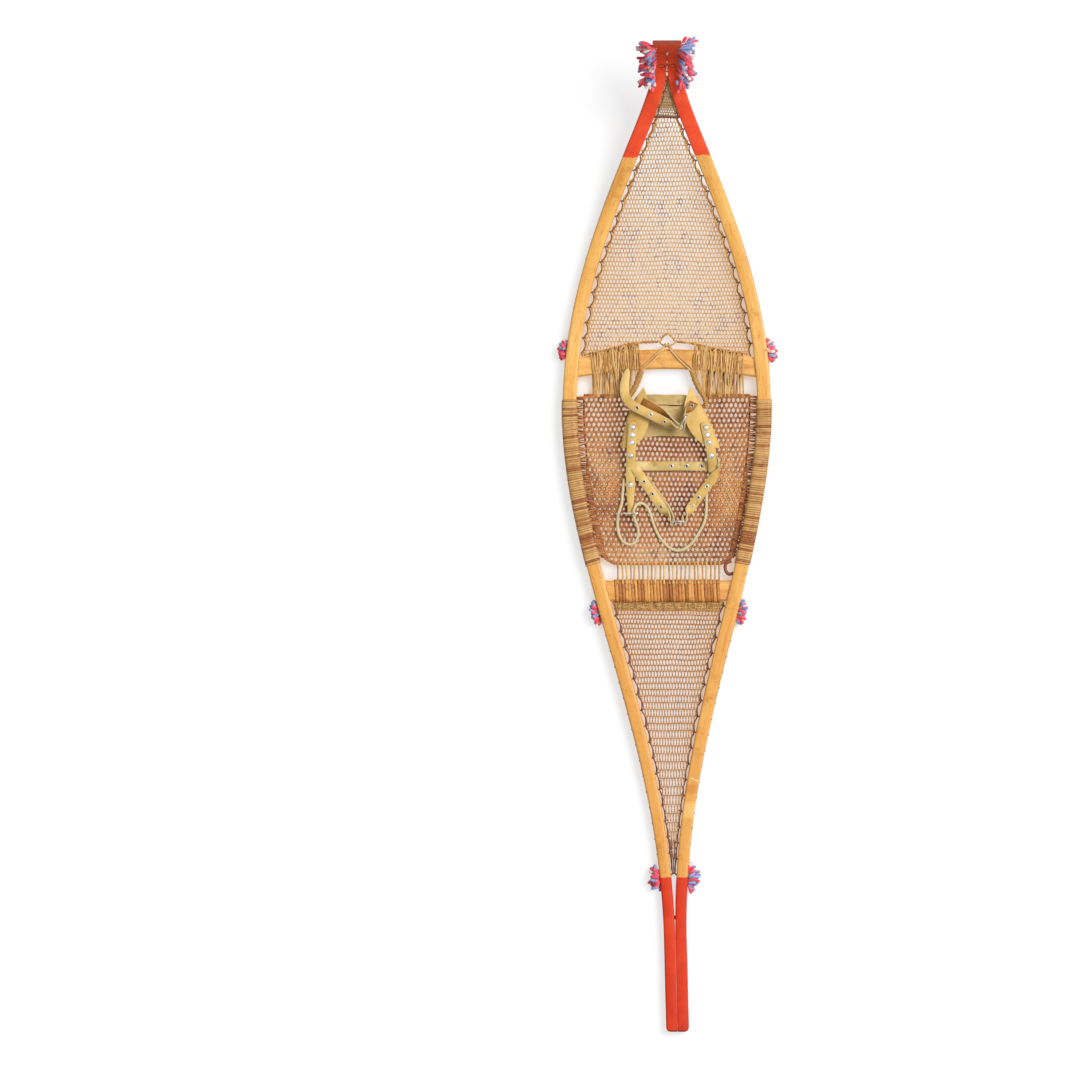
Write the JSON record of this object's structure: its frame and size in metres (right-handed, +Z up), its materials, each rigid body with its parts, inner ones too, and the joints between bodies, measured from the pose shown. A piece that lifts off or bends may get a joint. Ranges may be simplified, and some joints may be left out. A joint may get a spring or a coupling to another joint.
{
  "type": "traditional snowshoe",
  "caption": "Pointed-toe wooden snowshoe with a rawhide net, wool tufts and a hinged leather foot binding with buckled straps, for walking on deep snow.",
  "frame": {"origin": "on the ground, under the middle of the shoe's overall length and width, without the free thong", "axes": "+Y along the shoe from the tail to the pointed toe, +Z up, +X to the wearer's right"},
  "size_m": [0.3266, 1.4461, 0.173],
  "materials": {
    "wood": "varnished, ends painted red",
    "rawhide": "dry",
    "red_rawhide": "varnished",
    "brown_rawhide": "varnished",
    "dark_thong": "dry",
    "leather": "smooth grain",
    "pale_thong": "dry",
    "nickel": "polished",
    "wool": "fluffy"
  },
  "bodies": {
    "snowshoe": {"left_stave": "wood", "right_stave": "wood", "front_crossbar": "wood", "rear_crossbar": "wood", "toe_lashing": "brown_rawhide", "tail_lashing": "dark_thong", "toe_spreader": "dark_thong", "toe_net": "rawhide", "front_net": "rawhide", "centre_net": "red_rawhide", "left_shoulder_net": "red_rawhide", "right_shoulder_net": "red_rawhide", "tail_net": "rawhide", "front_selvage_left": "dark_thong", "front_selvage_right": "dark_thong", "tail_selvage_left": "dark_thong", "tail_selvage_right": "dark_thong", "left_stave_wrap": "brown_rawhide", "right_stave_wrap": "brown_rawhide", "front_bar_wrap_left": "brown_rawhide", "front_bar_wrap_right": "brown_rawhide", "rear_bar_wrap": "brown_rawhide", "toe_cord": "brown_rawhide", "left_stay_cord": "brown_rawhide", "right_stay_cord": "brown_rawhide", "toe_tufts_left": "wool", "toe_tufts_right": "wool", "front_tuft_left": "wool", "front_tuft_right": "wool", "rear_tuft_left": "wool", "rear_tuft_right": "wool", "tail_tuft_left": "wool", "tail_tuft_right": "wool", "toe_strap_tip": "leather"},
    "binding": {"toe_piece": "leather", "left_tie": "pale_thong", "right_tie": "pale_thong", "toe_strap": "leather", "toe_tab": "leather", "toe_buckle": "nickel", "toe_eyelets": "nickel", "left_flap_rivets": "nickel", "right_flap_rivets": "nickel", "left_strap_root": "leather", "right_strap_root": "leather"},
    "toe_prong": {"toe_prong": "nickel"},
    "heel_straps": {"left_side_strap": "leather", "right_side_strap": "leather", "left_strap_rivets": "nickel", "right_strap_rivet": "nickel", "instep_cross": "leather", "cross_eyelets": "nickel", "thong_ring": "nickel", "heel_thong": "pale_thong"},
    "instep_loop": {"instep_left_strap": "leather", "instep_right_strap": "leather", "instep_buckle": "nickel", "instep_eyelets": "nickel"},
    "instep_prong": {"instep_prong": "nickel"}
  },
  "joints": [
    {"name": "toe_pivot", "type": "hinge", "parent": "snowshoe", "child": "binding", "pos_m": [0, 0.19, 0.0121], "axis": [-1, 0, 0], "range_deg": [0, 70]},
    {"name": "toe_prong_swing", "type": "hinge", "parent": "binding", "child": "toe_prong", "pos_m": [0.02789, 0.17618, 0.0415], "axis": [0, 0, 1], "range_deg": [0, 100]},
    {"name": "heel_lift", "type": "hinge", "parent": "binding", "child": "heel_straps", "pos_m": [0, 0.124, 0.0331], "axis": [-1, 0, 0], "range_deg": [0, 90]},
    {"name": "instep_lift", "type": "hinge", "parent": "heel_straps", "child": "instep_loop", "pos_m": [0, 0.0915, 0.021], "axis": [-1, 0, 0], "range_deg": [0, 75]},
    {"name": "instep_prong_swing", "type": "hinge", "parent": "instep_loop", "child": "instep_prong", "pos_m": [0.026, 0.0224, 0.0246], "axis": [0, 0, 1], "range_deg": [0, 100]}
  ]
}
